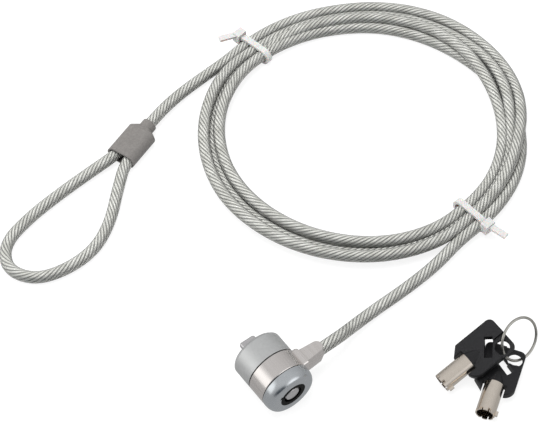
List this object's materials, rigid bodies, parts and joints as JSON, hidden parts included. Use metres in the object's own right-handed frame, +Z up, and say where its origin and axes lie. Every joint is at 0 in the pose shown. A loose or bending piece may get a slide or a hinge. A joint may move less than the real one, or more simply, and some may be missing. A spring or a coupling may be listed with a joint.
{
  "type": "laptop cable lock",
  "caption": "Notebook security lock: tubular-key cylinder head with T-bar and swivelling lug, coated wire rope coil with crimped anchor loop, nylon ties, tubular keys on a wire ring",
  "frame": {"origin": "centre of the lock's nose face on the lock axis, where it meets the laptop", "axes": "+Y out of the nose along the lock axis towards the laptop, +X towards the cable lug, +Z up; the surface that everything lies on is 9.75 mm below the origin"},
  "size_m": [0.2116, 0.1964, 0.0195],
  "materials": {
    "wire_rope": "grey stranded steel rope under a clear plastic coat",
    "satin_metal": "fine satin plating on a die-cast shell",
    "brushed_ring": "turned and brushed along the axis, bright plating",
    "bright_cap": "bright satin plating",
    "washer": "dark thin washer",
    "black_collar": "black moulded collar",
    "steel": "plain machined steel",
    "brass": "turned brass",
    "spring_steel": "drawn spring wire",
    "grey_sleeve": "grey moulded sleeve with a fine satin grain",
    "aluminium": "pressed aluminium",
    "nylon": "milky translucent nylon",
    "key_steel": "warm nickel-plated steel tube",
    "key_plastic": "black moulded plastic"
  },
  "bodies": {
    "cable": {"cable_coil": "wire_rope", "cable_tail": "wire_rope", "cable_lead": "wire_rope", "cable_loop": "wire_rope", "ferrule_sleeve": "grey_sleeve", "crimp_sleeve": "aluminium", "coil_tie_1": "nylon", "coil_tie_2": "nylon", "cable_end_stop": "steel"},
    "swivel": {"swivel_ring": "brushed_ring", "front_washer": "washer", "rear_washer": "washer"},
    "head": {"nose_housing": "satin_metal", "front_cap": "bright_cap", "keyway_bezel": "black_collar", "pin_chamber": "brass", "guide_pin_1": "steel", "guide_pin_2": "steel", "driver_spring_1": "spring_steel", "driver_spring_2": "spring_steel", "driver_spring_3": "spring_steel", "driver_spring_4": "spring_steel", "driver_spring_5": "spring_steel", "driver_spring_6": "spring_steel", "driver_spring_7": "spring_steel"},
    "plug": {"plug_barrel": "steel", "t_bar": "steel", "spindle_clip": "spring_steel"},
    "key_pin_1": {"key_pin_1": "brass"},
    "driver_pin_1": {"driver_pin_1": "steel"},
    "key_pin_2": {"key_pin_2": "brass"},
    "driver_pin_2": {"driver_pin_2": "steel"},
    "key_pin_3": {"key_pin_3": "brass"},
    "driver_pin_3": {"driver_pin_3": "steel"},
    "key_pin_4": {"key_pin_4": "brass"},
    "driver_pin_4": {"driver_pin_4": "steel"},
    "key_pin_5": {"key_pin_5": "brass"},
    "driver_pin_5": {"driver_pin_5": "steel"},
    "key_pin_6": {"key_pin_6": "brass"},
    "driver_pin_6": {"driver_pin_6": "steel"},
    "key_pin_7": {"key_pin_7": "brass"},
    "driver_pin_7": {"driver_pin_7": "steel"},
    "key_ring": {"key_ring": "spring_steel"},
    "key_1": {"key_1_tube": "key_steel", "key_1_head": "key_plastic"},
    "key_2": {"key_2_tube": "key_steel", "key_2_head": "key_plastic"}
  },
  "joints": [
    {"name": "cable_swivel", "type": "hinge", "parent": "cable", "child": "swivel", "pos_m": [0.0166, -0.01365, 0], "axis": [1, 0, 0], "continuous": true},
    {"name": "head_turn", "type": "hinge", "parent": "swivel", "child": "head", "pos_m": [0, -0.01365, 0], "axis": [0, 1, 0], "continuous": true},
    {"name": "plug_turn", "type": "hinge", "parent": "head", "child": "plug", "pos_m": [0, -0.0144, 0], "axis": [0, 1, 0], "range_deg": [0, 90]},
    {"name": "key_pin_1_push", "type": "slide", "parent": "plug", "child": "key_pin_1", "axis": [0, 1, 0], "range_m": [0, 0.0012], "stiffness_N_per_m": 40, "springref_m": -0.001},
    {"name": "driver_pin_1_push", "type": "slide", "parent": "head", "child": "driver_pin_1", "axis": [0, 1, 0], "range_m": [0, 0.0012], "deforming": ["driver_spring_1"]},
    {"name": "key_pin_2_push", "type": "slide", "parent": "plug", "child": "key_pin_2", "axis": [0, 1, 0], "range_m": [0, 0.0012]},
    {"name": "driver_pin_2_push", "type": "slide", "parent": "head", "child": "driver_pin_2", "axis": [0, 1, 0], "range_m": [0, 0.0012], "deforming": ["driver_spring_2"]},
    {"name": "key_pin_3_push", "type": "slide", "parent": "plug", "child": "key_pin_3", "axis": [0, 1, 0], "range_m": [0, 0.0012]},
    {"name": "driver_pin_3_push", "type": "slide", "parent": "head", "child": "driver_pin_3", "axis": [0, 1, 0], "range_m": [0, 0.0012], "deforming": ["driver_spring_3"]},
    {"name": "key_pin_4_push", "type": "slide", "parent": "plug", "child": "key_pin_4", "axis": [0, 1, 0], "range_m": [0, 0.0012]},
    {"name": "driver_pin_4_push", "type": "slide", "parent": "head", "child": "driver_pin_4", "axis": [0, 1, 0], "range_m": [0, 0.0012], "deforming": ["driver_spring_4"]},
    {"name": "key_pin_5_push", "type": "slide", "parent": "plug", "child": "key_pin_5", "axis": [0, 1, 0], "range_m": [0, 0.0012]},
    {"name": "driver_pin_5_push", "type": "slide", "parent": "head", "child": "driver_pin_5", "axis": [0, 1, 0], "range_m": [0, 0.0012], "deforming": ["driver_spring_5"]},
    {"name": "key_pin_6_push", "type": "slide", "parent": "plug", "child": "key_pin_6", "axis": [0, 1, 0], "range_m": [0, 0.0012]},
    {"name": "driver_pin_6_push", "type": "slide", "parent": "head", "child": "driver_pin_6", "axis": [0, 1, 0], "range_m": [0, 0.0012], "deforming": ["driver_spring_6"]},
    {"name": "key_pin_7_push", "type": "slide", "parent": "plug", "child": "key_pin_7", "axis": [0, 1, 0], "range_m": [0, 0.0012]},
    {"name": "driver_pin_7_push", "type": "slide", "parent": "head", "child": "driver_pin_7", "axis": [0, 1, 0], "range_m": [0, 0.0012], "deforming": ["driver_spring_7"]},
    {"name": "keys_lift", "type": "slide", "parent": "cable", "child": "key_ring", "axis": [0, 0, 1], "range_m": [0, 0.06]},
    {"name": "key_1_swing", "type": "hinge", "parent": "key_ring", "child": "key_1", "pos_m": [0.07002, -0.05201, 0.00073], "axis": [-0.1703, -0.5162, -0.8394], "range_deg": [-10, 0]},
    {"name": "key_2_swing", "type": "hinge", "parent": "key_ring", "child": "key_2", "pos_m": [0.07346, -0.05597, -0.00625], "axis": [0.831, -0.2437, -0.5001], "range_deg": [-10, 0]}
  ],
  "couplings": [
    {"joint": "driver_pin_1_push", "follows": "key_pin_1_push", "ratio": 1},
    {"joint": "key_pin_2_push", "follows": "key_pin_1_push", "ratio": 1},
    {"joint": "driver_pin_2_push", "follows": "key_pin_1_push", "ratio": 1},
    {"joint": "key_pin_3_push", "follows": "key_pin_1_push", "ratio": 1},
    {"joint": "driver_pin_3_push", "follows": "key_pin_1_push", "ratio": 1},
    {"joint": "key_pin_4_push", "follows": "key_pin_1_push", "ratio": 1},
    {"joint": "driver_pin_4_push", "follows": "key_pin_1_push", "ratio": 1},
    {"joint": "key_pin_5_push", "follows": "key_pin_1_push", "ratio": 1},
    {"joint": "driver_pin_5_push", "follows": "key_pin_1_push", "ratio": 1},
    {"joint": "key_pin_6_push", "follows": "key_pin_1_push", "ratio": 1},
    {"joint": "driver_pin_6_push", "follows": "key_pin_1_push", "ratio": 1},
    {"joint": "key_pin_7_push", "follows": "key_pin_1_push", "ratio": 1},
    {"joint": "driver_pin_7_push", "follows": "key_pin_1_push", "ratio": 1}
  ]
}
